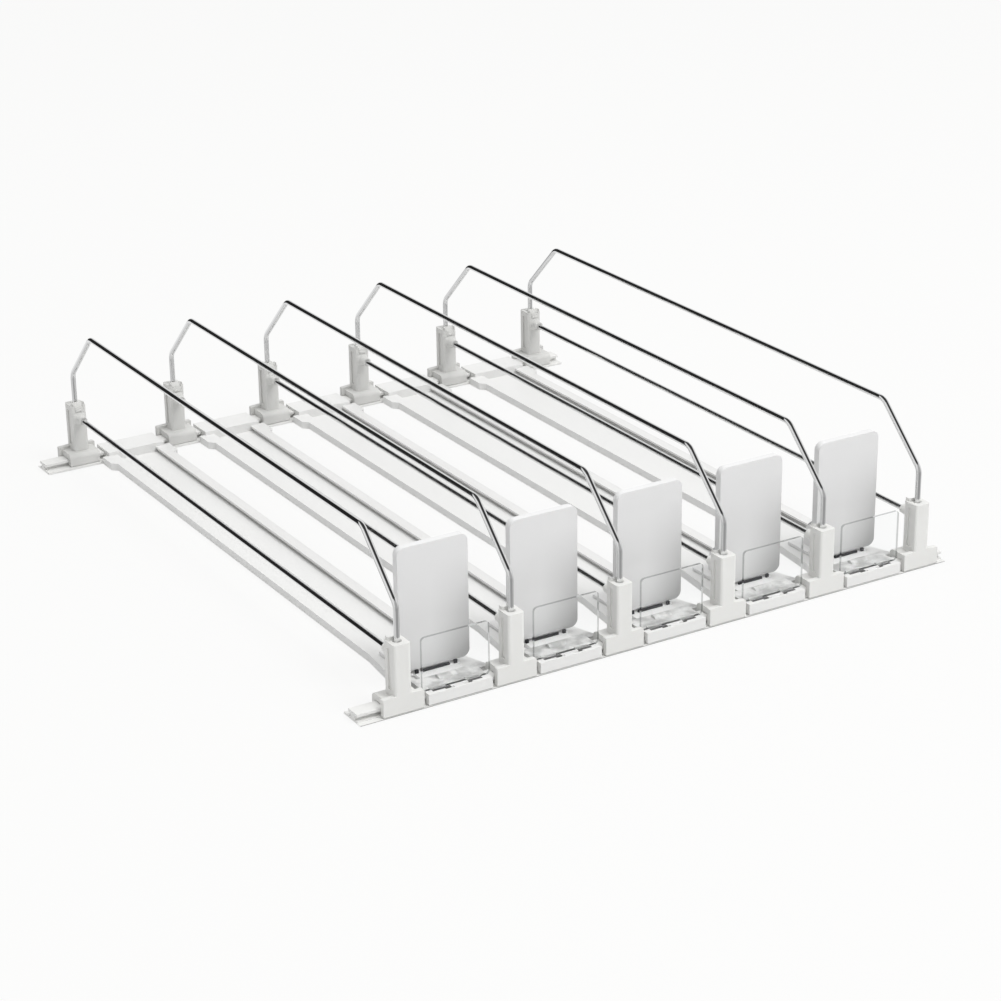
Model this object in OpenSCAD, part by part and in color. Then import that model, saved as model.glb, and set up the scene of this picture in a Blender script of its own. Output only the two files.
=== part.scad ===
// Self-feeding can organizer for a fridge shelf: two rails lie across the shelf, tracks with
// spring pushers and wire dividers are clipped over them.
// Origin in the middle of the footprint, on the shelf. +Y runs to the rear, +Z is up.
// Each end is drawn from its wire axis inwards, and the rear end is the mirror image of the front.

/* [Layout] */
// Number of lanes side by side
lanes = 5; // [1:1:6]
// Distance from one divider to the next
lane_pitch = 62; // [59:1:110]
// Distance between the front and rear posts, from wire axis to wire axis
span = 380; // [300:5:500]
// Running clearance of everything that slides
slide_gap = 0.3; // [0.2:0.05:0.4]

/* [Rails] */
// Length of rail to the left of the first divider's axis
rail_left = 23.5; // [16:0.5:60]
// Length of rail to the right of the last divider's axis
rail_right = 16.5; // [13:0.5:60]
// Front to back size of a rail
rail_depth = 17.6; // [17:0.2:22]
// Distance from the wire axis inwards to the middle of the rail
rail_offset = 2.2; // [1.8:0.1:2.8]
// Thickness of the rail's base
rail_base = 1.2; // [1:0.1:2]
// Height of the lips along the rail's edges, above the base
rail_lip_h = 0.8; // [0.4:0.1:1.2]
// Thickness of the lips along the rail's edges
rail_lip_w = 1; // [0.8:0.1:1.2]
// Thickness of the upright web that carries the rail's head
tee_web = 4; // [3:0.2:5]
// Height of the upright web
tee_web_h = 2; // [1.8:0.1:3]
// Width of the rail's head
tee_head = 8.4; // [7.6:0.2:9]
// Thickness of the rail's head
tee_head_h = 1.6; // [1.2:0.1:2.4]

/* [Posts] */
// Width of a post, along the rail
post_w = 9; // [8:0.5:12]
// Front to back size of a post
post_d = 10.4; // [10:0.2:12]
// Height of a post above the shelf
post_h = 36; // [34:1:60]
// Width of the clip foot, along the rail
foot_w = 22; // [18:0.5:24]
// Height of the foot's shoulders above the shelf
foot_h = 13; // [11:0.5:16]
// Thickness of the foot's front apron
apron_t = 2.9; // [2.5:0.1:2.9]
// Radius of the rounded clip finger behind the rail
finger_r = 2.8; // [2.4:0.1:2.9]
// Width of the clip finger
finger_w = 18; // [14:0.5:20]
// Depth of the flute in each side of a post
flute_depth = 0.7; // [0.4:0.1:1.2]
// Width of the flute in each side of a post
flute_w = 3; // [2:0.2:4]

/* [Wires] */
// Diameter of the divider wires
wire_d = 3; // [2.4:0.1:3.6]
// Radial play of a wire in its socket
wire_fit = 0.05; // [0.02:0.01:0.1]
// Height of the top run of the upper wire, at its axis
upper_z = 83.6; // [75:0.2:130]
// Height at which the upper wire starts to lean inwards
lean_z = 54.2; // [48:0.2:60]
// How far the upper wire leans inwards before its top run
lean_y = 30.4; // [20:0.2:50]
// Bend radius of the upper wire's axis
bend_r = 7; // [4:0.5:9]
// How deep the upper wire stands in its post
socket_depth = 12; // [6:0.5:16]
// Height of the lower wire's axis
lower_z = 28.4; // [25:0.2:30]
// How far the lower wire stops short of the upper wire's axis
lower_seat = 2.8; // [2.5:0.1:4]
// Length of the tapered boss round the lower wire
boss_len = 6; // [4:0.5:10]
// Diameter of the boss at the post
boss_d = 8; // [7:0.2:9]
// Diameter of the boss at its tip
boss_tip_d = 5.6; // [5:0.2:6.4]

/* [Tracks] */
// Width of a track
track_w = 36; // [34:0.5:38]
// Thickness of the track's walls, floor and lips
wall = 1.2; // [1:0.05:1.4]
// Width of the slot that the pusher runs in
slot_w = 24; // [22:0.5:26]
// How far the runners reach under the track's lips
undercut = 1.4; // [1:0.1:1.6]
// Width of the track's head between two feet
head_w = 35; // [33:0.5:36]
// Width over the flared wings behind the front feet
flare_w = 51.2; // [42:0.2:54]
// Width over the wings where the long taper starts
flare_mid_w = 42; // [39:0.5:46]
// Length of the steep part of the front wings
flare_near = 13.5; // [8:0.5:20]
// Length of the whole front wings
flare_len = 41.5; // [30:0.5:60]
// Length of the short rear wings
rear_flare_len = 15; // [10:0.5:25]

/* [Front stops] */
// Width of the clear stop
stop_w = 37; // [32:0.5:38]
// Height of the clear stop above the track's head
stop_h = 27.7; // [18:0.1:45]
// Thickness of the clear stop
stop_t = 1.5; // [1.2:0.1:2]
// Length of each tab under the stop
tab_w = 8.8; // [6:0.2:11]
// Distance between the middles of the two tabs
tab_pitch = 19.4; // [17:0.2:22]
// Play of a tab in its slot, on each side
tab_fit = 0.05; // [0.02:0.01:0.1]

/* [Pushers] */
// Width of the pusher plate
plate_w = 38.5; // [34:0.5:44]
// Height of the pusher plate's top edge above the shelf
plate_top = 72; // [60:1:90]
// Height of the pusher plate's bottom edge above the shelf
plate_bottom = 7.6; // [7:0.1:9]
// Depth of the plate's rim
plate_depth = 4; // [3.5:0.1:5]
// Thickness of the plate's skin and rim
plate_t = 1.6; // [1.2:0.1:2]
// Radius of the plate's corners
plate_r = 4; // [3:0.5:8]
// Distance from the front of the sled back to the front of the plate
plate_set = 6.7; // [5:0.1:8]
// Length of the sled
sled_len = 37; // [36:0.5:60]
// Thickness of the sled's runners
runner_t = 1.2; // [1:0.1:1.6]
// Width of the sled's deck above the track
deck_w = 28; // [26:0.5:34]
// Thickness of the sled's deck
deck_t = 1.5; // [1.2:0.1:1.8]
// Width of the upright tongue that carries the plate
tongue_w = 18; // [16:0.5:24]
// Thickness of the upright tongue
tongue_t = 1.8; // [1.4:0.1:2]
// Height of the top of the tongue above the shelf
tongue_top = 38; // [28:1:50]

/* [Springs] */
// Outer diameter of the coiled spring band
coil_d = 19; // [16:0.5:20]
// Width of the spring band
band_w = 13; // [10:0.5:14]
// Thickness of the spring band
band_t = 0.4; // [0.2:0.05:0.5]
// Diameter of the two stub pins that the coil turns on
pin_d = 6; // [4:0.2:7]
// Radial play of the coil on its pins
pin_fit = 0.1; // [0.05:0.05:0.2]
// Distance between two turns where they show on the coil's sides
turn_pitch = 0.8; // [0.6:0.1:1.2]
// Thickness of the sled's cheeks beside the coil
cheek_t = 1.6; // [1.4:0.1:2]
// Diameter of the peg that holds the end of the band
peg_d = 3.2; // [2.4:0.2:4]

/* [Hidden] */
$fn = 48;
// How far a cut reaches past the face that it opens
cut = 1;
// How far a wire's straight legs reach into its bends, and how much thinner the bends are
bend_lap = 0.2;
bend_thinning = 0.02;

// Heights that the rail sets
tee_under = rail_base + tee_web_h;
tee_top = tee_under + tee_head_h;
clip_bottom = rail_base + slide_gap;
clip_roof = tee_top + slide_gap;
head_top = clip_roof + wall;

// Distances from the wire axis inwards
rail_inner = rail_offset + rail_depth / 2;
body_start = rail_inner + slide_gap;
channel_start = body_start + wall;
foot_back = rail_offset + tee_head / 2 + slide_gap + apron_t;

// Heights and places inside the track
lip_under = wall + 2 * slide_gap + runner_t;
track_top = lip_under + wall;
deck_bottom = track_top + slide_gap;
deck_top = deck_bottom + deck_t;
sled_start = channel_start + slide_gap;
plate_y = sled_start + plate_set;
tongue_y = plate_y + plate_t;
peg_y = sled_start + peg_d;

// The coil lies clear of the band on the floor of the track, just behind the plate
coil_z = wall + band_t + slide_gap + coil_d / 2;
coil_gap = 2 * slide_gap;
coil_y = plate_y + plate_depth + plate_t + coil_gap + coil_d / 2;
cheek_in = band_w / 2 + coil_gap;

function divider_x(i) = (i - 1 - lanes / 2) * lane_pitch + (rail_left - rail_right) / 2;
function lane_x(i) = divider_x(i) + lane_pitch / 2;

// Places its children at the front or the rear wire axis, with +Y inwards
module at_front(x) {
    translate([x, -span / 2, 0]) children();
}

module at_rear(x) {
    translate([x, span / 2, 0]) mirror([0, 1, 0]) children();
}

// Box between two corners
module block(low, high) {
    translate(low) cube(high - low);
}

// Box of width w about the middle of X, between two points [y, z]
module bar(w, low, high) {
    block([-w / 2, low[0], low[1]], [w / 2, high[0], high[1]]);
}

// Rectangle with round corners, centred in X, from y = 0 upwards
module rounded(w, h, r) {
    translate([-w / 2 + r, 0]) square([w - 2 * r, h]);
    translate([-w / 2, r]) square([w, h - 2 * r]);
    for (x = [-w / 2 + r, w / 2 - r])
        for (y = [r, h - r])
            translate([x, y]) circle(r);
}

// Turns an outline in X and Y into a plate in X and Z that reaches back from y = 0
module upright(t) {
    translate([0, t, 0]) rotate([90, 0, 0]) linear_extrude(t) children();
}

// Extrudes an outline in Y and Z along X, centred
module along_x(w) {
    translate([-w / 2, 0, 0]) rotate([90, 0, 90]) linear_extrude(w) children();
}

// Head and web of the rail, in Y and Z, grown by a gap
module tee(gap) {
    translate([rail_offset - tee_web / 2 - gap, 0]) square([tee_web + 2 * gap, tee_top]);
    translate([rail_offset - tee_head / 2 - gap, tee_under - gap])
        square([tee_head + 2 * gap, tee_head_h + 2 * gap]);
}

module rail_profile() {
    translate([rail_offset - rail_depth / 2, 0]) square([rail_depth, rail_base]);
    for (y = [rail_offset - rail_depth / 2, rail_inner - rail_lip_w])
        translate([y, 0]) square([rail_lip_w, rail_base + rail_lip_h]);
    tee(0);
}

module rail() {
    along_x(lanes * lane_pitch + rail_left + rail_right) rail_profile();
}

module front_rail() {
    color("gainsboro") at_front(0) rail();
}

module rear_rail() {
    color("gainsboro") at_rear(0) rail();
}

// Front view of the foot's apron, with sloping shoulders up to the post
module apron_outline() {
    corner = 0.8;
    slope = 0.8;
    polygon([
        [-foot_w / 2, clip_bottom], [foot_w / 2, clip_bottom],
        [foot_w / 2, foot_h - corner], [foot_w / 2 - corner, foot_h],
        [post_w / 2, foot_h + slope], [-post_w / 2, foot_h + slope],
        [-foot_w / 2 + corner, foot_h], [-foot_w / 2, foot_h - corner]
    ]);
}

// Side view of the saddle over the rail and of the round finger that hooks behind it
module saddle_outline() {
    finger_z = clip_roof + 0.5;
    translate([-post_d / 2 + apron_t / 2, clip_bottom])
        square([foot_back - finger_r + post_d / 2 - apron_t / 2, finger_z + finger_r - clip_bottom]);
    translate([foot_back - finger_r, finger_z]) circle(finger_r);
    translate([foot_back - 2 * finger_r, clip_bottom]) square([2 * finger_r, finger_z - clip_bottom]);
}

module clip_foot() {
    difference() {
        union() {
            translate([0, -post_d / 2, 0]) upright(apron_t) apron_outline();
            along_x(finger_w) saddle_outline();
        }
        along_x(foot_w + 2 * cut) {
            tee(slide_gap);
            translate([rail_offset - tee_web / 2 - slide_gap, -cut])
                square([tee_web + 2 * slide_gap, clip_bottom + cut]);
        }
    }
}

module post_column() {
    edge_r = 1.4;
    column_z = clip_roof + 0.6;
    difference() {
        translate([0, -post_d / 2, column_z])
            linear_extrude(post_h - column_z) rounded(post_w, post_d, edge_r);
        for (side = [-1, 1])
            translate([side * post_w / 2, 0, foot_h + 2])
                linear_extrude(post_h - foot_h - 5)
                    translate([-flute_depth, -flute_w / 2]) square([2 * flute_depth, flute_w]);
    }
}

// Low block on the inner half of the post's top, behind the wire
module post_cap() {
    cap_w = post_w - 2;
    cap_h = 1.6;
    cap_start = wire_d / 2 + 0.6;
    translate([0, cap_start, post_h - 0.5])
        linear_extrude(cap_h + 0.5) rounded(cap_w, post_d / 2 - cap_start + 0.6, 1);
}

module post() {
    bore = wire_d + 2 * wire_fit;
    sink = 0.8;
    seat_z = post_h - socket_depth;
    difference() {
        union() {
            post_column();
            post_cap();
            clip_foot();
            translate([0, post_d / 2 - cut, lower_z]) rotate([-90, 0, 0]) cylinder(h = cut, d = boss_d);
            translate([0, post_d / 2, lower_z]) rotate([-90, 0, 0])
                cylinder(h = boss_len, d1 = boss_d, d2 = boss_tip_d);
        }
        translate([0, 0, seat_z]) cylinder(h = socket_depth + 3 * cut, d = bore);
        translate([0, 0, post_h - sink]) cylinder(h = sink, d1 = bore, d2 = bore + 2 * sink);
        translate([0, lower_seat, lower_z]) rotate([-90, 0, 0])
            cylinder(h = post_d / 2 + boss_len, d = bore);
    }
}

module front_post(i) {
    color("whitesmoke") at_front(divider_x(i)) post();
}

module rear_post(i) {
    color("whitesmoke") at_rear(divider_x(i)) post();
}

// Direction of a leg of a path in Y and Z, and how much a bend takes off the leg's end
function heading(a, b) = atan2(b[1] - a[1], b[0] - a[0]);
function along(angle, distance) = [cos(angle) * distance, sin(angle) * distance];
function trim(path, k) =
    k == 0 || k == len(path) - 1 ? 0
    : bend_r * tan((heading(path[k - 1], path[k]) - heading(path[k], path[k + 1])) / 2);

// Straight leg of a bent wire, reaching a little way into the bends at its two ends
module leg(path, k) {
    angle = heading(path[k], path[k + 1]);
    first = path[k] + along(angle, max(trim(path, k) - bend_lap, 0));
    last = path[k + 1] - along(angle, max(trim(path, k + 1) - bend_lap, 0));
    translate([0, first[0], first[1]]) rotate([angle - 90, 0, 0]) cylinder(h = norm(last - first), d = wire_d);
}

// Bend of a wire that turns down to the right, a hair thinner than the legs, as drawn wire is
module bend(path, k) {
    before = heading(path[k - 1], path[k]);
    after = heading(path[k], path[k + 1]);
    centre = path[k] - along(before, trim(path, k)) + along(before - 90, bend_r);
    translate([0, centre[0], centre[1]]) rotate([90, 0, 90]) rotate([0, 0, after + 90])
        rotate_extrude(angle = before - after) translate([bend_r, 0]) circle(d = wire_d - bend_thinning);
}

module upper_wire(i) {
    seat_z = post_h - socket_depth;
    path = [
        [0, seat_z], [0, lean_z], [lean_y, upper_z],
        [span - lean_y, upper_z], [span, lean_z], [span, seat_z]
    ];
    color("silver") at_front(divider_x(i)) {
        for (k = [0:len(path) - 2]) leg(path, k);
        for (k = [1:len(path) - 2]) bend(path, k);
    }
}

module lower_wire(i) {
    color("silver") at_front(divider_x(i)) translate([0, lower_seat, lower_z])
        rotate([-90, 0, 0]) cylinder(h = span - 2 * lower_seat, d = wire_d);
}

// Section of the track in X and Z: floor, undercut slot and hollow side ledges
module track_section() {
    cavity = slot_w + 2 * undercut;
    difference() {
        translate([-track_w / 2, 0]) square([track_w, track_top]);
        translate([-slot_w / 2, wall]) square([slot_w, track_top]);
        translate([-cavity / 2, wall]) square([cavity, lip_under - wall]);
        for (side = [0, 1])
            mirror([side, 0]) translate([cavity / 2 + wall, -cut])
                square([(track_w - cavity) / 2 - 2 * wall, lip_under + cut]);
    }
}

// Wing on the right of the track: a thin top and a skirt that follow an outline from front to back
module wing(outline) {
    inner = track_w / 2 - wall;
    count = len(outline);
    translate([0, 0, lip_under]) linear_extrude(wall)
        polygon(concat([[inner, outline[0][1]]], outline, [[inner, outline[count - 1][1]]]));
    for (k = [0:count - 2])
        linear_extrude(track_top) polygon([
            outline[k], outline[k + 1],
            outline[k + 1] - [wall, 0], outline[k] - [wall, 0]
        ]);
    linear_extrude(track_top) translate([inner, outline[0][1]])
        square([outline[0][0] - inner, wall]);
}

module front_wings() {
    outline = [
        [flare_w / 2, body_start], [flare_mid_w / 2, body_start + flare_near],
        [track_w / 2, body_start + flare_len]
    ];
    for (side = [0, 1]) mirror([side, 0, 0]) wing(outline);
}

module rear_wings() {
    ease = (flare_mid_w - track_w) / 2;
    outline = [
        [flare_mid_w / 2, body_start], [flare_mid_w / 2, body_start + rear_flare_len - ease],
        [track_w / 2, body_start + rear_flare_len]
    ];
    for (side = [0, 1]) mirror([side, 0, 0]) wing(outline);
}

// End of the track that clips over the rail and closes the channel
module track_head() {
    front_y = rail_offset - tee_head / 2 - slide_gap - apron_t + 0.2;
    back_y = rail_offset + tee_head / 2 + slide_gap + 1.6;
    difference() {
        union() {
            bar(head_w, [front_y, clip_bottom], [back_y, head_top]);
            bar(head_w, [back_y - cut, clip_roof], [channel_start, head_top]);
            bar(head_w, [body_start, 0], [channel_start, head_top]);
        }
        along_x(head_w + 2 * cut) tee(slide_gap);
    }
    for (x = [-1, 1] * (head_w - wall) / 2)
        translate([x, 0, 0]) bar(wall, [back_y - cut, rail_base + rail_lip_h + slide_gap], [channel_start, head_top]);
}

// Raised dome over the end of the band, in the middle of the front head
module head_dome() {
    dome_w = 10;
    dome_r = 2.4;
    difference() {
        translate([0, channel_start - dome_r - wall, head_top - 0.9]) rotate([0, 90, 0])
            cylinder(h = dome_w, r = dome_r, center = true);
        bar(dome_w + 2 * cut, [0, 0], [channel_start, head_top - wall / 2]);
    }
}

// Two long slots for the tabs of the stop, and two small pockets in front of them
module head_slots() {
    pocket_w = 5;
    pocket_d = 1.4;
    for (side = [-1, 1]) {
        translate([side * tab_pitch / 2, 0, 0])
            bar(tab_w + 2 * tab_fit, [-stop_t / 2 - tab_fit, tee_top], [stop_t / 2 + tab_fit, head_top + cut]);
        translate([side * pocket_w, 0, 0])
            bar(pocket_w, [-post_d / 2 + 1.4, head_top - 0.6], [-post_d / 2 + 1.4 + pocket_d, head_top + cut]);
    }
}

module track(i) {
    length = span - 2 * body_start;
    color("white") {
        at_front(lane_x(i)) {
            translate([0, body_start, 0]) upright(length) track_section();
            difference() {
                track_head();
                head_slots();
            }
            head_dome();
            front_wings();
            translate([0, peg_y, wall / 2]) cylinder(h = wall / 2 + band_t + slide_gap, d = peg_d);
        }
        at_rear(lane_x(i)) {
            track_head();
            rear_wings();
        }
    }
}

// Clear upright stop with two tabs in the head's slots
module front_stop(i) {
    corner_r = 2;
    color("lightcyan", 0.4) at_front(lane_x(i)) translate([0, -stop_t / 2, 0]) {
        translate([0, 0, head_top]) upright(stop_t) rounded(stop_w, stop_h, corner_r);
        for (side = [-1, 1])
            translate([side * tab_pitch / 2, 0, 0]) bar(tab_w, [0, clip_roof], [stop_t, head_top + cut]);
    }
}

// Runners under the track's lips, the neck between the lips and the deck above them
module sled_base() {
    runner_w = slot_w + 2 * undercut - 2 * slide_gap;
    neck_w = slot_w - 2 * slide_gap;
    bottom = wall + slide_gap;
    end = sled_start + sled_len;
    difference() {
        union() {
            bar(runner_w, [sled_start, bottom], [end, bottom + runner_t]);
            bar(neck_w, [sled_start, bottom], [end, deck_top]);
            bar(deck_w, [plate_y, deck_bottom], [end, deck_top]);
        }
        bar(band_w + 4 * slide_gap, [sled_start - cut, 0], [end + cut, bottom + band_t + 2 * slide_gap]);
        bar(2 * cheek_in, [coil_y - coil_d / 2 - coil_gap, 0], [coil_y + coil_d / 2 + coil_gap, deck_top + cut]);
        bar(band_w + 2, [sled_start - cut, deck_top - 1.9], [plate_y + plate_t, deck_top - 0.4]);
    }
}

// Cheek beside the coil, in Y and Z, round at the top
module cheek_outline() {
    cheek_r = coil_d / 2 - 1.5;
    translate([coil_y - cheek_r, deck_bottom]) square([2 * cheek_r, coil_z - deck_bottom]);
    translate([coil_y, coil_z]) circle(cheek_r);
}

// Cheeks with stub pins for the coil, and the tongue that the plate is pushed onto
module sled_upper() {
    stub = 3;
    brace = 9;
    for (side = [0, 1]) mirror([side, 0, 0]) {
        translate([cheek_in + cheek_t / 2, 0, 0]) along_x(cheek_t) cheek_outline();
        translate([cheek_in - stub, coil_y, coil_z]) rotate([0, 90, 0])
            cylinder(h = stub + cheek_t / 2, d = pin_d);
        translate([cheek_in + cheek_t / 2, 0, 0]) along_x(cheek_t) polygon([
            [tongue_y + tongue_t / 2, deck_bottom], [coil_y, deck_bottom],
            [coil_y, coil_z], [tongue_y + tongue_t / 2, coil_z + brace]
        ]);
    }
    translate([0, tongue_y, deck_bottom]) upright(tongue_t) rounded(tongue_w, tongue_top - deck_bottom, 1);
}

module pusher_sled(i) {
    color("white") at_front(lane_x(i)) {
        sled_base();
        sled_upper();
    }
}

// Shallow tray with guides on its back that slide down over the sled's tongue
module pusher_plate(i) {
    height = plate_top - plate_bottom;
    guide_t = 1.6;
    hook = 1.2;
    hook_t = 1.4;
    hook_y = tongue_y + tongue_t + tab_fit;
    half = tongue_w / 2 + tab_fit;
    color("white") at_front(lane_x(i)) {
        difference() {
            translate([0, plate_y, plate_bottom]) upright(plate_depth) rounded(plate_w, height, plate_r);
            translate([0, tongue_y, plate_bottom + plate_t]) upright(plate_depth)
                rounded(plate_w - 2 * plate_t, height - 2 * plate_t, plate_r - plate_t);
            bar(2 * half, [tongue_y, plate_bottom - cut], [tongue_y + plate_depth, plate_bottom + plate_t + cut]);
        }
        for (side = [0, 1]) mirror([side, 0, 0]) {
            block([half, tongue_y, plate_bottom + plate_t], [half + guide_t, hook_y + hook_t, tongue_top]);
            block([half - hook, hook_y, coil_z + coil_d / 2], [half + guide_t, hook_y + hook_t, tongue_top]);
        }
        bar(2 * (half + guide_t), [tongue_y, tongue_top], [hook_y + hook_t, tongue_top + guide_t]);
    }
}

// Coiled band: the turns show as rings on both sides
module spring_coil(i) {
    bore_r = pin_d / 2 + pin_fit;
    turns = floor((coil_d / 2 - bore_r) / turn_pitch);
    ring = (coil_d / 2 - bore_r) / turns;
    groove = 0.25;
    color("lightsteelblue") at_front(lane_x(i)) translate([0, coil_y, coil_z]) rotate([0, 90, 0])
        rotate_extrude() for (k = [0:turns - 1]) {
            translate([bore_r + k * ring, -band_w / 2 + groove]) square([ring, band_w - 2 * groove]);
            translate([bore_r + k * ring, -band_w / 2]) square([ring / 2, band_w]);
        }
}

// Flat stretch of the band on the floor of the track, hooked over its peg
module spring_band(i) {
    lead = peg_d / 2 + 1;
    color("lightsteelblue") at_front(lane_x(i)) difference() {
        bar(band_w, [peg_y - lead, wall], [coil_y, wall + band_t]);
        translate([0, peg_y, 0]) cylinder(h = wall + band_t + cut, d = peg_d + 2 * tab_fit);
    }
}

front_rail();
rear_rail();
for (i = [1:lanes]) {
    track(i);
    pusher_sled(i);
    pusher_plate(i);
    spring_coil(i);
    spring_band(i);
    front_stop(i);
}
for (i = [1:lanes + 1]) {
    front_post(i);
    rear_post(i);
    upper_wire(i);
    lower_wire(i);
}
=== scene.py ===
"""Visual model of the self-feeding can organizer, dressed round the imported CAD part.

Metres, +Z up, +Y from the front stops to the rear rail. MM turns millimetres into metres.
"""

import math

import bpy
from mathutils import Matrix, Vector


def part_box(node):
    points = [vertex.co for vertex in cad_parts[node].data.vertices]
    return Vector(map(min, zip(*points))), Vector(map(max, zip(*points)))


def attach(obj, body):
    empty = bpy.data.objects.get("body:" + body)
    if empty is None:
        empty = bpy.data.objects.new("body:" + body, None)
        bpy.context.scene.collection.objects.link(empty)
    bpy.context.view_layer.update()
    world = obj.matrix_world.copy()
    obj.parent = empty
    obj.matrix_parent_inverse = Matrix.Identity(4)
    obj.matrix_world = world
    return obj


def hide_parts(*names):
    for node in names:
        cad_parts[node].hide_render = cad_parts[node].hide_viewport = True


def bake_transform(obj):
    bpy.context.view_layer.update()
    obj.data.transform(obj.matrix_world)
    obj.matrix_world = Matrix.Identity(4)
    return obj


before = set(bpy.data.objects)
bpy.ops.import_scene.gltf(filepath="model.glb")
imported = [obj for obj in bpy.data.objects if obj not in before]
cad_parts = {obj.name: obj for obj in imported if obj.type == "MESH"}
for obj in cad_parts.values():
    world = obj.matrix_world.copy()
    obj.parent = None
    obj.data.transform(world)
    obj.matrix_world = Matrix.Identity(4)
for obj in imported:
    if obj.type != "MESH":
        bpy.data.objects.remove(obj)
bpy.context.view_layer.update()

MM = 0.001

# The part's own measures in millimetres. The posts' axes stand at WIRE_Y in front and behind.
LANES = 5
LANE_PITCH = 62
FIRST_DIVIDER_X = -151.5
WIRE_Y = 190

# Camera, fitted to the photograph: angles in degrees, distances in metres
CAMERA_AZIMUTH = -31.0921
CAMERA_ELEVATION = 22.3494
CAMERA_ROLL = -0.7614
CAMERA_DISTANCE = 1.37483
CAMERA_TARGET = Vector((-0.02235, -0.07044, 0.036))
CAMERA_CLIP = (0.05, 30)
FOCAL_PIXELS = 2629.16
PICTURE_PIXELS = 1001
SENSOR = 36.0


def add_camera():
    a, e, roll = (
        math.radians(v) for v in (CAMERA_AZIMUTH, CAMERA_ELEVATION, CAMERA_ROLL)
    )
    back = Vector(
        (math.sin(a) * math.cos(e), -math.cos(a) * math.cos(e), math.sin(e))
    )
    level_right = (-back).cross(Vector((0, 0, 1))).normalized()
    level_up = level_right.cross(-back)
    right = math.cos(roll) * level_right + math.sin(roll) * level_up
    up = -math.sin(roll) * level_right + math.cos(roll) * level_up
    data = bpy.data.cameras.new("camera")
    data.sensor_width = SENSOR
    data.lens = FOCAL_PIXELS / PICTURE_PIXELS * SENSOR
    data.clip_start, data.clip_end = CAMERA_CLIP
    camera = bpy.data.objects.new("camera", data)
    place = Matrix((right, up, back)).transposed().to_4x4()
    place.translation = CAMERA_TARGET + back * CAMERA_DISTANCE
    camera.matrix_world = place
    bpy.context.scene.collection.objects.link(camera)
    bpy.context.scene.camera = camera


# Shader nodes


def rgba(r, g=None, b=None):
    """A colour. One number gives a grey."""
    return (r, r if g is None else g, r if b is None else b, 1.0)


class Tree:
    """Short calls for building a tree of shader nodes."""

    def __init__(self, tree):
        self.tree = tree

    def link(self, source, socket):
        """Links a socket to another one, or gives it a value."""
        if isinstance(source, bpy.types.NodeSocket):
            self.tree.links.new(source, socket)
        else:
            socket.default_value = source

    def add(self, kind, links=None, **values):
        node = self.tree.nodes.new(kind)
        for name, value in values.items():
            setattr(node, name, value)
        for socket, source in (links or {}).items():
            self.link(source, node.inputs[socket])
        return node

    def math(self, operation, first, second=0.0):
        node = self.add("ShaderNodeMath", {0: first, 1: second}, operation=operation)
        return node.outputs[0]

    def times(self, first, second):
        return self.math("MULTIPLY", first, second)

    def spread(self, source, low, high, start=0.3, end=0.7):
        """Goes from low to high as the source goes from start to end, and no further."""
        limits = {"From Min": start, "From Max": end, "To Min": low, "To Max": high}
        return self.add("ShaderNodeMapRange", {"Value": source, **limits}).outputs["Result"]

    def between(self, source, low, high, soft=0.1):
        """1 where a length lies between two limits in millimetres, 0 elsewhere."""
        return self.times(
            self.spread(source, 0.0, 1.0, (low - soft) * MM, low * MM),
            self.spread(source, 1.0, 0.0, high * MM, (high + soft) * MM),
        )

    def mix(self, factor, first, second, blend="MIX"):
        node = self.add("ShaderNodeMix", data_type="RGBA", blend_type=blend)
        for socket, source in ((0, factor), (6, first), (7, second)):
            self.link(source, node.inputs[socket])
        return node.outputs[2]

    def mix_shader(self, factor, first, second):
        return self.add("ShaderNodeMixShader", {0: factor, 1: first, 2: second}).outputs[0]

    def ramp(self, source, stops):
        """A grey ramp through pairs of place and brightness."""
        node = self.add("ShaderNodeValToRGB", {0: source})
        places = node.color_ramp.elements
        places[0].position, places[0].color = stops[0][0], rgba(stops[0][1])
        places[1].position, places[1].color = stops[-1][0], rgba(stops[-1][1])
        for place, value in stops[1:-1]:
            places.new(place).color = rgba(value)
        return node.outputs[0]

    def surface(self, output, shader):
        """Links a shader to the tree's output node."""
        self.link(shader, self.tree.nodes[output].inputs["Surface"])


class Look(Tree):
    """A material on one Principled shader."""

    def __init__(self, name):
        self.material = bpy.data.materials.new(name)
        self.material.use_nodes = True
        super().__init__(self.material.node_tree)
        self.shader = self.tree.nodes["Principled BSDF"]
        self.texture = self.add("ShaderNodeTexCoord").outputs

    def put(self, socket, source):
        self.link(source, self.shader.inputs[socket])

    def parts(self, space):
        """The three parts of an Object, Generated or Normal coordinate."""
        return self.add("ShaderNodeSeparateXYZ", {0: self.texture[space]}).outputs

    def stretched(self, scale):
        links = {"Vector": self.texture["Object"], "Scale": scale}
        return self.add("ShaderNodeMapping", links).outputs["Vector"]

    def noise(self, scale, detail=3.0, vector=None):
        links = {"Vector": vector or self.texture["Object"], "Scale": scale, "Detail": detail}
        return self.add("ShaderNodeTexNoise", links).outputs["Fac"]

    def bump(self, height, distance):
        links = {"Height": height, "Distance": distance, "Strength": 1.0}
        return self.add("ShaderNodeBump", links).outputs["Normal"]

    def darken(self, factor, shade):
        """Multiplies the base colour by a shade where the factor is 1."""
        plain = self.shader.inputs["Base Color"].links[0].from_socket
        shadow = self.mix(factor, rgba(1.0), rgba(shade))
        self.put("Base Color", self.mix(1.0, plain, shadow, "MULTIPLY"))


# Materials


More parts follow.
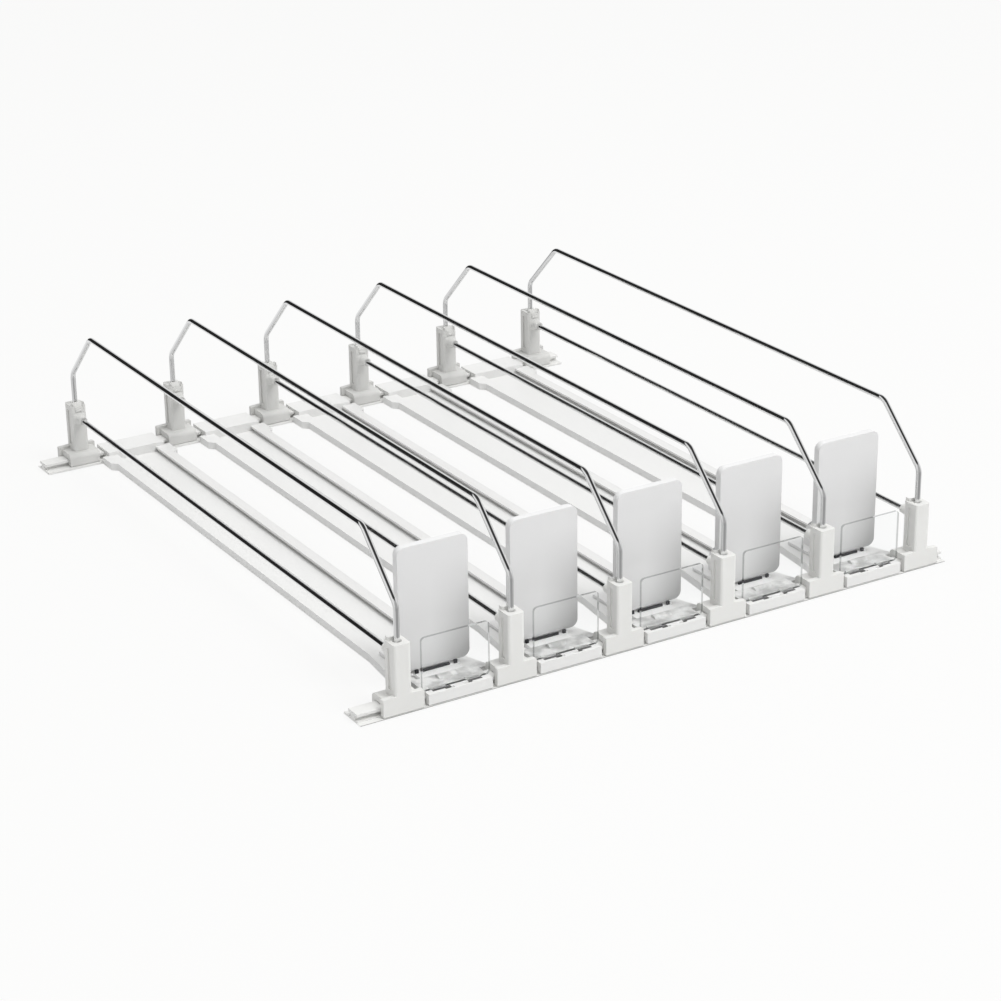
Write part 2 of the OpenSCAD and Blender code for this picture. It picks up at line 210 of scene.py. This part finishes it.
def moulded(name, light, dark, roughness):
    """Injection-moulded plastic: a fine eroded grain, faint flow marks and uneven gloss."""
    grain = 0.012 * MM
    m = Look(name)
    flow = m.noise(1.0, 2.0, m.stretched((18, 6, 30)))
    m.put("Base Color", m.mix(m.spread(flow, 0.0, 1.0), dark, light))
    m.put("Roughness", m.spread(m.noise(45, 2.0), roughness - 0.03, roughness + 0.04))
    m.put("Normal", m.bump(m.noise(2600, 2.0), grain))
    m.put("IOR", 1.46)
    m.put("Specular IOR Level", 0.3)
    return m


def painted_shadow_rail():
    """The rail's plastic, with a painted shadow line along the outer face of its flange on the
    shelf.
    """
    edge_y, edge_z, shade = (195.2 * MM, 195.3 * MM), (0.4 * MM, 0.45 * MM), 0.5
    m = moulded("white_rail", rgba(0.82, 0.82, 0.805), rgba(0.78, 0.78, 0.765), 0.38)
    _, y, z = m.parts("Object")
    # Painted shadow: the thin outer face of the flange is darkened
    outer = m.spread(m.math("ABSOLUTE", y), 0.0, 1.0, *edge_y)
    m.darken(m.times(outer, m.spread(z, 1.0, 0.0, *edge_z)), shade)
    return m


def shaded_track():
    """The track's plastic, with painted shade in the undercut and patchy painted shade where the
    head meets the channel.
    """
    undercut_shade, valley_shade = 0.38, 0.55
    m = moulded("white_track", rgba(0.83, 0.83, 0.82), rgba(0.81, 0.81, 0.8), 0.36)
    x, y, z = m.parts("Object")
    from_divider = m.math("ADD", x, -FIRST_DIVIDER_X * MM)
    lane = m.math("FLOORED_MODULO", from_divider, LANE_PITCH * MM)
    aside = m.math("ABSOLUTE", m.math("SUBTRACT", lane, LANE_PITCH / 2 * MM))
    # Painted shade: a dark line where the undercut lies in shadow
    undercut = m.times(m.between(aside, 12.03, 14), m.between(z, 1.8, 3.02, 0.02))
    m.darken(m.times(undercut, m.between(y, -177.3, 177.3)), undercut_shade)
    # Painted shade, broken up by noise, in the hollow between the head and the plate
    above_floor = m.spread(z, 0.0, 1.0, 3.0 * MM, 3.5 * MM)
    valley = m.times(m.between(y, -187.5, -176, 4), above_floor)
    patchy_shade = m.spread(m.noise(130), 0.15, 1.0, 0.38, 0.62)
    m.darken(m.times(valley, patchy_shade), valley_shade)
    return m


def shaded_post():
    """The posts' plastic, with painted shade that grows towards the rear rail."""
    front, rear, shade = -0.15, 0.18, 0.86
    m = moulded("white_post", rgba(0.81, 0.81, 0.79), rgba(0.78, 0.78, 0.76), 0.36)
    _, y, _ = m.parts("Object")
    # Painted shade: darker towards the rear
    m.darken(m.spread(y, 0.0, 1.0, front, rear), shade)
    return m


def shaded_plate():
    """The plate's plastic, with painted shade towards its foot and its lower right corner."""
    corner_share, foot_share, shade = 0.7, 0.5, 0.56
    m = moulded("white_plate", rgba(0.82), rgba(0.8), 0.34)
    x, _, z = m.parts("Generated")
    right = m.spread(x, 0.0, 1.0, 0.45, 1.0)
    low = m.spread(z, 1.0, 0.0, 0.0, 0.85)
    corner = m.times(m.times(right, low), corner_share)
    foot = m.times(m.math("POWER", low, 2.0), foot_share)
    # Painted shade, deepest in the lower right corner
    m.darken(m.math("ADD", corner, foot), shade)
    return m


def chrome():
    m = Look("chrome_wire")
    m.put("Metallic", 1.0)
    m.put("Base Color", m.mix(m.noise(60), rgba(0.74, 0.745, 0.75), rgba(0.8)))
    m.put("Roughness", m.spread(m.noise(35, 2.0), 0.05, 0.09))
    m.put("Normal", m.bump(m.noise(60, 1.0), 0.003 * MM))
    return m


def spring_steel():
    """Rolled steel band, with fine lines along it."""
    m = Look("spring_steel")
    lines = m.noise(1.0, 2.0, m.stretched((3000, 20, 20)))
    m.put("Metallic", 1.0)
    m.put("Base Color", m.mix(lines, rgba(0.36, 0.37, 0.39), rgba(0.5, 0.5, 0.51)))
    m.put("Roughness", m.spread(lines, 0.2, 0.34))
    m.put("Normal", m.bump(lines, 0.004 * MM))
    return m


def clear_acrylic():
    """Clear sheet: greyer on its narrow edges than on its two faces, a painted shade for the dark
    outline of its edges.
    """
    edge, face = rgba(0.4, 0.41, 0.41), rgba(0.985, 0.99, 0.99)
    m = Look("clear_acrylic")
    facing = m.math("ABSOLUTE", m.parts("Normal")["Y"])
    # Painted shade on the narrow edges
    m.put("Base Color", m.mix(m.spread(facing, 0.0, 1.0, 0.5, 0.95), edge, face))
    m.put("Transmission Weight", 1.0)
    m.put("IOR", 1.03)
    m.put("Coat Weight", 0.6)
    m.put("Coat IOR", 1.35)
    m.put("Roughness", m.spread(m.noise(90), 0.0, 0.03))
    m.put("Normal", m.bump(m.noise(140, 1.0), 0.002 * MM))
    return m


LOOKS = {
    "rail": painted_shadow_rail(),
    "track": shaded_track(),
    "post": shaded_post(),
    "pusher": moulded("white_sled", rgba(0.84, 0.84, 0.835), rgba(0.8, 0.8, 0.795), 0.33),
    "plate": shaded_plate(),
    "shade": moulded("pocket_shade", rgba(0.13), rgba(0.1), 0.6),
    # Near-black steel, part painted shade of the gap under the plate
    "dark": moulded("steel_and_painted_shade", rgba(0.035, 0.035, 0.04), rgba(0.02, 0.02, 0.022), 0.5),
    "wire": chrome(),
    "spring": spring_steel(),
    "stop": clear_acrylic(),
}

# The look of each kind of CAD node, and how wide its edges are softened, in millimetres
NODE_LOOKS = {
    "front_rail": ("rail", 0.25),
    "rear_rail": ("rail", 0.25),
    "track": ("track", 0.2),
    "front_post": ("post", 0.5),
    "rear_post": ("post", 0.5),
    "pusher_sled": ("pusher", 0.2),
    "pusher_plate": ("plate", 0.5),
    "upper_wire": ("wire", 0),
    "lower_wire": ("wire", 0),
    "spring_coil": ("spring", 0),
    "spring_band": ("spring", 0),
    "front_stop": ("stop", 0.15),
}
SHARP_ANGLE = 35  # degrees between two faces, from which their edge is softened
WELD_DISTANCE = 0.002 * MM


def dress(obj, look, softened=0):
    """Gives a node or a piece its material and softens its sharp edges."""
    obj.data.materials.clear()
    obj.data.materials.append(LOOKS[look].material)
    if softened:
        weld = obj.modifiers.new("weld", "WELD")
        weld.merge_threshold = WELD_DISTANCE
        bevel = obj.modifiers.new("soft_edges", "BEVEL")
        bevel.limit_method = "ANGLE"
        bevel.angle_limit = math.radians(SHARP_ANGLE)
        bevel.width = softened * MM
        bevel.segments = 2
        bevel.harden_normals = True


def dress_nodes():
    for name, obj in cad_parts.items():
        kind = name.rstrip("0123456789").rstrip("_")
        dress(obj, *NODE_LOOKS[kind])


# Meshes


def middle(low, high):
    return [(a + b) / 2 for a, b in zip(low, high)]


def add_piece(name, mesh):
    piece = bpy.data.objects.new(name, mesh)
    bpy.context.scene.collection.objects.link(piece)
    return piece


def add_mesh(name, points, faces):
    mesh = bpy.data.meshes.new(name)
    mesh.from_pydata(points, [], faces)
    mesh.validate()
    return add_piece(name, mesh)


def copied(node, name):
    """A new piece with a node's mesh."""
    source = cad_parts[node]
    piece = add_piece(name, source.data.copy())
    piece.matrix_world = source.matrix_world
    return piece


def ring_faces(count):
    """Faces between two rings of points, the second right after the first."""
    return [(k, (k + 1) % count, count + (k + 1) % count, count + k) for k in range(count)]


BLOCK_FACES = (
    (0, 2, 3, 1), (4, 5, 7, 6), (0, 1, 5, 4), (2, 6, 7, 3), (0, 4, 6, 2), (1, 3, 7, 5),
)


def blocks(name, origin, ranges):
    """One mesh of boxes, each from its ranges in millimetres as seen from an origin in metres."""
    points, faces = [], []
    for box in ranges:
        start = len(points)
        xs, ys, zs = (
            [place + length * MM for length in span] for place, span in zip(origin, box)
        )
        points += [(x, y, z) for z in zs for y in ys for x in xs]
        faces += [tuple(start + n for n in face) for face in BLOCK_FACES]
    return add_mesh(name, points, faces)


# Stage and light. A strength of 1 is white.
FLOOR_HALF = 6.0
FLOOR_Z = -0.3 * MM  # just under the rails
FLOOR_GLOW = 0.86
FLOOR_PAPER = 0.1  # the part of the seen floor that takes the shadow
FLOOR_BOUNCE = 0.8  # the floor as it lights the object from below
WHITE = rgba(1.0, 1.0, 0.995)
WORLD_STRENGTH = 0.56
BACKGROUND_STRENGTH = 0.98

# What the chrome mirrors, as pairs of place and brightness. A direction's place is its height,
# with 0.5 level, and its depth, with 0 the front. Where it runs rearwards, its place is its angle
# round the lanes instead, in degrees, with 0 the left and 90 the top.
SHINE_BY_HEIGHT = ((0.0, 0.75), (0.44, 0.75), (0.5, 0.92), (0.82, 0.92), (0.88, 0.05), (1.0, 0.05))
SHINE_BY_DEPTH = ((0.0, 0.5), (0.12, 0.5), (0.28, 1.0), (1.0, 1.0))
SHINE_BY_ANGLE = ((-180, 0.9), (-34, 0.95), (-26, 0.02), (104, 0.02), (114, 0.8), (180, 0.9))
REARWARD = (0.62, 0.7)

# Name, place, side of the square and power
LAMPS = (
    ("key", (0.9, -1.7, 2.7), 1.6, 50),
    ("top", (0, 0, 3), 1.5, 24),
)


def stage_floor():
    """A floor that the camera sees almost white, with the object's shadow on it."""
    half = FLOOR_HALF
    corners = ((-half, -half), (half, -half), (half, half), (-half, half))
    floor = add_mesh("floor", [(x, y, FLOOR_Z) for x, y in corners], [(0, 1, 2, 3)])
    m = Look("floor")
    path = m.add("ShaderNodeLightPath").outputs
    seen = m.math("MAXIMUM", path["Is Camera Ray"], path["Is Transmission Ray"])
    glow = m.add("ShaderNodeEmission", {"Color": WHITE, "Strength": FLOOR_GLOW})
    paper = m.add("ShaderNodeBsdfDiffuse", {"Color": rgba(FLOOR_PAPER)})
    bright = m.add("ShaderNodeAddShader", {0: glow.outputs[0], 1: paper.outputs[0]})
    plain = m.add("ShaderNodeBsdfDiffuse", {"Color": rgba(FLOOR_BOUNCE)})
    m.surface("Material Output", m.mix_shader(seen, plain.outputs[0], bright.outputs[0]))
    floor.data.materials.append(m.material)
    floor.visible_glossy = False


def world_light():
    """Even white light on the object, and a plain studio for the chrome to mirror.

    The studio is pale under a dark ceiling. Wires along the lanes mirror one dark band between
    white ones, which gives them a dark core between white edges.
    """
    world = bpy.data.worlds.new("studio")
    bpy.context.scene.world = world
    world.use_nodes = True
    w = Tree(world.node_tree)
    path = w.add("ShaderNodeLightPath").outputs
    direction = w.add("ShaderNodeTexCoord").outputs["Generated"]
    x, y, z = w.add("ShaderNodeSeparateXYZ", {0: direction}).outputs
    angle = w.spread(w.math("ARCTAN2", z, w.times(x, -1.0)), 0.0, 1.0, -math.pi, math.pi)
    along = w.ramp(angle, [((degrees + 180) / 360, value) for degrees, value in SHINE_BY_ANGLE])
    level = w.ramp(w.spread(z, 0.0, 1.0, -1.0, 1.0), SHINE_BY_HEIGHT)
    toward = w.ramp(w.spread(y, 0.0, 1.0, -1.0, 1.0), SHINE_BY_DEPTH)
    sides = w.mix(1.0, level, toward, "MULTIPLY")
    shine = w.mix(w.spread(y, 0.0, 1.0, *REARWARD), sides, along)
    plain = w.add("ShaderNodeBackground", {"Color": rgba(1.0), "Strength": WORLD_STRENGTH})
    mirror = w.add("ShaderNodeBackground", {"Color": shine})
    backdrop = w.add("ShaderNodeBackground", {"Color": WHITE, "Strength": BACKGROUND_STRENGTH})
    light = w.mix_shader(path["Is Glossy Ray"], plain.outputs[0], mirror.outputs[0])
    seen = w.math("MAXIMUM", path["Is Camera Ray"], path["Is Transmission Ray"])
    w.surface("World Output", w.mix_shader(seen, light, backdrop.outputs[0]))


def add_lamp(name, place, side, power):
    """A square lamp that faces the object and isn't mirrored in it."""
    data = bpy.data.lights.new(name, "AREA")
    data.shape = "SQUARE"
    data.size = side
    data.energy = power
    lamp = bpy.data.objects.new(name, data)
    lamp.location = place
    lamp.rotation_mode = "QUATERNION"
    lamp.rotation_quaternion = (-Vector(place)).to_track_quat("-Z", "Y")
    lamp.visible_glossy = False
    bpy.context.scene.collection.objects.link(lamp)


# Springs: the real turns of the band and its flat stretch, which on the real organizer grows as a
# pusher goes back


def spiral_coil(i):
    """The coiled band as a spiral strip, wound from the bottom, up the rear and over the top."""
    (x0, y0, z0), (x1, y1, z1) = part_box(f"spring_coil_{i}")
    y, z, outer = (y0 + y1) / 2, (z0 + z1) / 2, (y1 - y0) / 2
    inner, thick, turns, steps = 3.1 * MM, 0.36 * MM, 12, 36
    count = turns * steps
    points, faces = [], []
    for k in range(count + 1):
        angle = 2 * math.pi * k / steps
        r = outer - (outer - inner - thick) * k / count
        for side, reach in ((x0, r), (x1, r), (x1, r - thick), (x0, r - thick)):
            points.append((side, y + reach * math.sin(angle), z - reach * math.cos(angle)))
    for a in range(0, 4 * count, 4):
        faces += [(a + n, a + (n + 1) % 4, a + 4 + (n + 1) % 4, a + 4 + n) for n in range(4)]
    last = 4 * count
    faces += [(3, 2, 1, 0), (last, last + 1, last + 2, last + 3)]
    piece = add_mesh(f"coil_turns_{i}", points, faces)
    dress(piece, "spring")
    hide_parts(f"spring_coil_{i}")
    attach(piece, f"coil_{i}")


def slab(points, faces, low, high, rise):
    """Gives a flat mesh a thickness: a top, a bottom and walls along its open edges."""
    count = len(points)
    solid = [(x, y, side + rise(y)) for side in (low, high) for x, y in points]
    edges = {(f[k], f[(k + 1) % len(f)]) for f in faces for k in range(len(f))}
    walls = [(a, b, b + count, a + count) for a, b in edges if (b, a) not in edges]
    bottom = [tuple(reversed(f)) for f in faces]
    top = [tuple(n + count for n in f) for f in faces]
    return solid, bottom + top + walls


def band_strip(i):
    """The flat stretch of the band, with a hole for its peg; on the real organizer it grows as the
    pusher goes back.
    """
    (x0, y0, z0), (x1, y1, z1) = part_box(f"spring_band_{i}")
    x, half = (x0 + x1) / 2, (x1 - x0) / 2
    lead, hole, ramp, lift = 2.6 * MM, 1.65 * MM, 8 * MM, 0.25 * MM
    across, along, rows = 12, 4, 48
    peg = y0 + lead
    straight, flat_end = peg + lead, y1 - ramp

    def rise(y):
        return lift * min(max((y - flat_end) / ramp, 0.0), 1.0) ** 2

    rim = [(half, lead * (2 * k / along - 1)) for k in range(along)]
    rim += [(half * (1 - 2 * k / across), lead) for k in range(across)]
    rim += [(-u, -v) for u, v in rim]
    points = [(x + u, peg + v) for u, v in rim]
    for u, v in rim:
        points.append((x + hole * u / math.hypot(u, v), peg + hole * v / math.hypot(u, v)))
    faces = ring_faces(len(rim))
    row = [along + k for k in range(across + 1)]
    places = [straight + (flat_end - straight) * k / rows for k in range(1, rows + 1)]
    for y in places + [y1 - ramp / 2, y1]:
        ahead = [len(points) + k for k in range(across + 1)]
        points += [(x + half * (1 - 2 * k / across), y) for k in range(across + 1)]
        faces += [(row[k], ahead[k], ahead[k + 1], row[k + 1]) for k in range(across)]
        row = ahead
    piece = add_mesh(f"band_strip_{i}", *slab(points, faces, z0, z1, rise))
    dress(piece, "spring")
    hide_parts(f"spring_band_{i}")
    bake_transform(piece)


# Forms that the solids draw plainer, in millimetres

# Section of a rail: outwards from the posts' axis, and up from the shelf
RAIL_OUTLINE = (
    (5.4, 0), (5.4, 0.4), (2.15, 0.4), (2.15, 1.2), (-0.2, 1.2), (-0.2, 3.2), (2.0, 3.2),
    (2.0, 4.8), (-6.4, 4.8), (-6.4, 3.2), (-4.2, 3.2), (-4.2, 1.2), (-11, 1.2), (-11, 0),
)

# The wall outside a rail: how far out it starts, the heights between which the solid's ends,
# and the height down to which it is drawn
APRON_START = 2.2
APRON_FOOT = (1.3, 1.7)
APRON_LOWERED = 0.75

# Heights on the solid post, and what is left of those of the shoulder and of the neck above it
FLANK_Z, SHOULDER_Z, NECK_Z = 8.5, 13.9, 20
SHOULDER_SHARE, NECK_SHARE = 0.3, 1.62

# The boss round a lower wire: how far in it starts, its bore, and what is left of its wall
BOSS_START = 5.25
BOSS_BORE, BOSS_CORE = 2.1, 2
BOSS_SHARE = 0.45

# Marks on a head, as seen from the stop's middle and the head's top. Each stands at two places
# across the head. Given are its look, how its edges are softened, and its ranges along and up.
# The slot marks are painted shade: dark blocks where the slots' hollows lie in shadow.
HEAD_TOP = 6.3
MARKS_ACROSS = ((-13.9, -4.0), (5.6, 13.2))
HEAD_MARKS = {
    "head_slots": ("shade", 0, (-2.8, -1.0), (-0.4, 0.03)),
    "head_ridges": ("track", 0.15, (0.95, 2.1), (-0.4, 0.45)),
}

# The band's end and two pin heads, near-black as painted shade of the gap under the plate, as seen
# from the middle of the plate's front, on the shelf
BAND_END = (
    ((-7.2, 7.6), (-1.2, -0.1), (6.0, 7.3)),
    ((-11.5, -9.7), (-1.4, -0.2), (6.0, 7.9)),
    ((9.9, 11.7), (-1.4, -0.2), (6.0, 7.9)),
)


def lower_apron(piece):
    """Brings the wall outside the rail down to just above the shelf."""
    low, high = (z * MM for z in APRON_FOOT)
    for vertex in piece.data.vertices:
        if low < vertex.co.z < high and abs(vertex.co.y) > (WIRE_Y + APRON_START) * MM:
            vertex.co.z = APRON_LOWERED * MM


def rail_piece(node):
    """A rail without lips, whose base ends in a thin flange under the feet and heads."""
    (x0, y0, _), (x1, _, _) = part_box(node)
    outward = 1 if y0 > 0 else -1
    ring = [(outward * (WIRE_Y + y) * MM, z * MM) for y, z in RAIL_OUTLINE]
    count = len(ring)
    points = [(x, y, z) for x in (x0, x1) for y, z in ring]
    faces = ring_faces(count)
    faces += [tuple(reversed(range(count))), tuple(range(count, 2 * count))]
    if outward > 0:
        faces = [tuple(reversed(face)) for face in faces]
    piece = add_mesh(f"{node}_bar", points, faces)
    dress(piece, "rail", 0.2)
    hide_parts(node)
    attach(piece, "root")


def track_piece(i):
    """A track with the walls of its heads down to the shelf."""
    piece = copied(f"track_{i}", f"track_body_{i}")
    lower_apron(piece)
    dress(piece, "track", 0.15)
    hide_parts(f"track_{i}")
    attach(piece, "root")


def head_marks(i):
    """Two dark blocks in front of the stop that paint the shade in slots, and a bright ridge
    behind each.
    """
    x, y, _ = middle(*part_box(f"front_stop_{i}"))
    for name, (look, softened, along, up) in HEAD_MARKS.items():
        ranges = [(across, along, up) for across in MARKS_ACROSS]
        piece = blocks(f"{name}_{i}", (x, y, HEAD_TOP * MM), ranges)
        dress(piece, look, softened)
        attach(piece, "root")


def lowered_shoulder(z):
    """A height on the solid post, brought down round its shoulder."""
    if FLANK_Z < z <= SHOULDER_Z:
        return FLANK_Z + (z - FLANK_Z) * SHOULDER_SHARE
    if SHOULDER_Z < z < NECK_Z:
        return NECK_Z - (NECK_Z - z) * NECK_SHARE
    return z


def post_piece(end, i):
    """A post with lower shoulders and a slimmer boss for the lower wire than the solid's."""
    piece = copied(f"{end}_post_{i}", f"{end}_post_body_{i}")
    lower_apron(piece)
    axis_x, _, axis_z = middle(*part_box(f"lower_wire_{i}"))
    for vertex in piece.data.vertices:
        z, inward = vertex.co.z / MM, WIRE_Y * MM - abs(vertex.co.y)
        across, up = vertex.co.x - axis_x, vertex.co.z - axis_z
        reach = math.hypot(across, up)
        if z > NECK_Z and inward > BOSS_START * MM and reach > BOSS_BORE * MM:
            share = (BOSS_CORE * MM + (reach - BOSS_CORE * MM) * BOSS_SHARE) / reach
            vertex.co.x, vertex.co.z = axis_x + across * share, axis_z + up * share
        else:
            vertex.co.z = lowered_shoulder(z) * MM
    dress(piece, "post", 0.5)
    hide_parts(f"{end}_post_{i}")
    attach(piece, f"divider_{i}")


def band_end(i):
    """The band's end under the plate, between the heads of two pins, near-black: part steel, part
    painted shade of the gap under the plate.
    """
    low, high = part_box(f"pusher_plate_{i}")
    x, _, _ = middle(low, high)
    piece = blocks(f"band_end_{i}", (x, low[1], 0), BAND_END)
    dress(piece, "dark", 0.2)
    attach(piece, f"pusher_{i}")


add_camera()
dress_nodes()
for lane in range(1, LANES + 1):
    spiral_coil(lane)
    band_strip(lane)
    track_piece(lane)
    head_marks(lane)
    band_end(lane)
rail_piece("front_rail")
rail_piece("rear_rail")
for divider in range(1, LANES + 2):
    post_piece("front", divider)
    post_piece("rear", divider)
stage_floor()
world_light()
for lamp in LAMPS:
    add_lamp(*lamp)

view = bpy.context.scene.view_settings
view.view_transform = "Standard"
